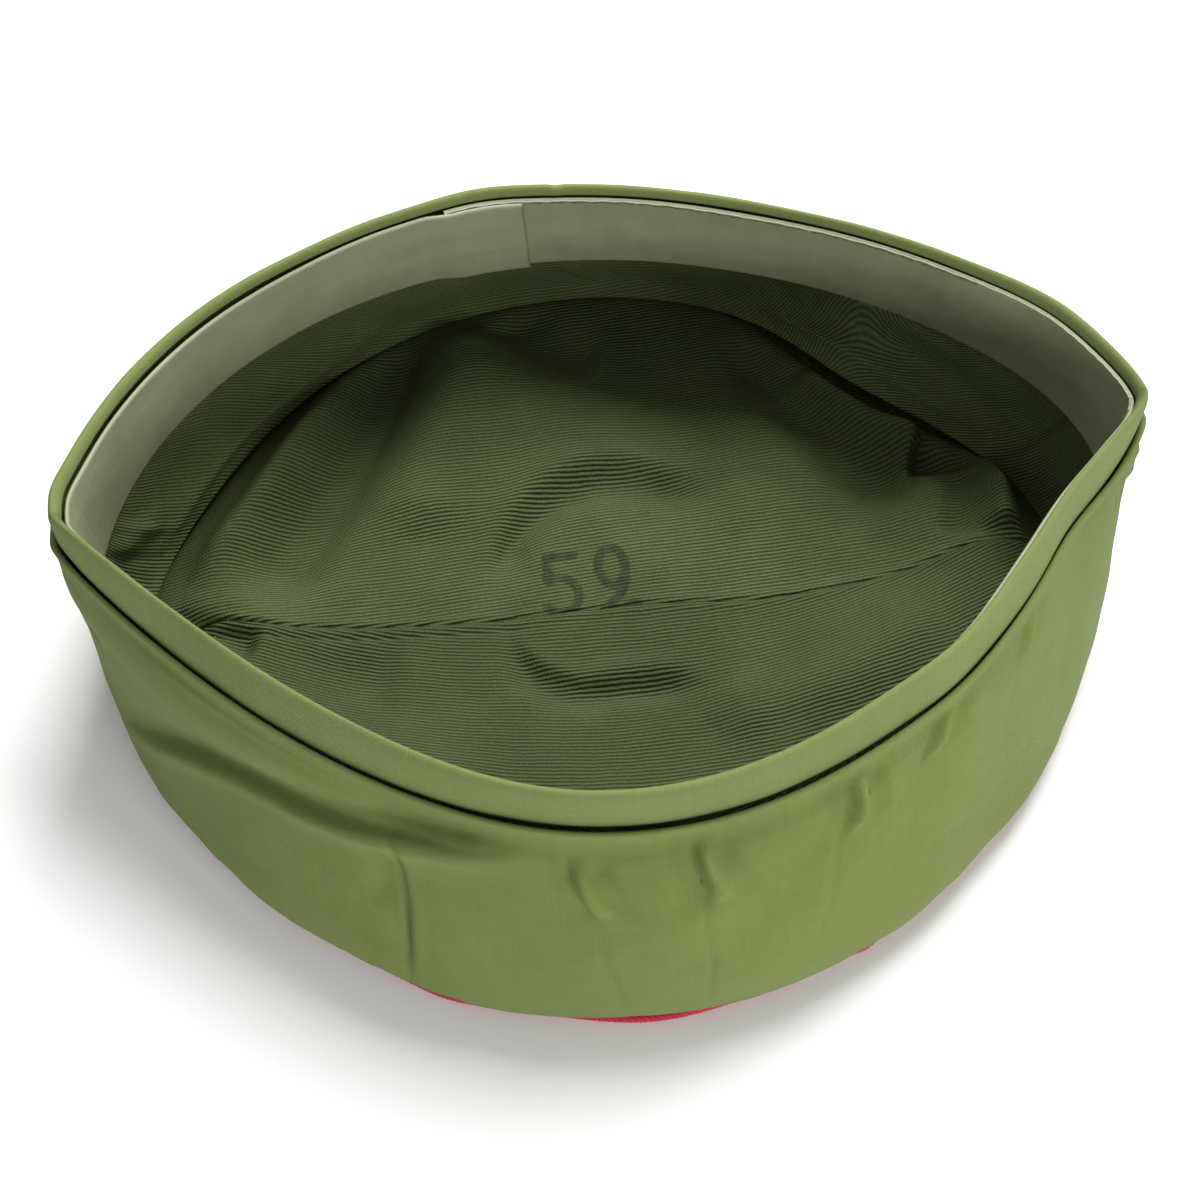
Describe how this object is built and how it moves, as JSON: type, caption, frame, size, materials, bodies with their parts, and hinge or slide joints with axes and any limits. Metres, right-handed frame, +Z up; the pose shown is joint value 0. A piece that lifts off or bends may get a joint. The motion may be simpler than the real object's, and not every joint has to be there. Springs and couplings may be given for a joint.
{
  "type": "brimless uniform cap",
  "caption": "Soft brimless cloth cap lying upside down on its crown, with a turned rim band, pale sweatband and twill lining.",
  "frame": {"origin": "centre of the crown's flat underside, on the surface that the cap lies on", "axes": "+Z up out of the head opening; X along the length of the rim, tip to tip; -Y towards the side seen nearest in the picture"},
  "size_m": [0.2393, 0.2065, 0.0702],
  "materials": {
    "top_panel": "plain woven cotton blend",
    "piping": "red corded cloth",
    "side_wall": "plain woven cotton blend",
    "band": "plain woven cotton blend, stitched",
    "sweatband": "smooth coated cloth",
    "side_lining": "twill",
    "crown_lining_back": "twill, printed size number",
    "crown_lining_front": "twill"
  },
  "bodies": {
    "root": {"top_panel": "top_panel", "piping": "piping", "side_wall": "side_wall", "band": "band", "sweatband": "sweatband", "side_lining": "side_lining", "crown_lining_back": "crown_lining_back", "crown_lining_front": "crown_lining_front"}
  },
  "joints": []
}
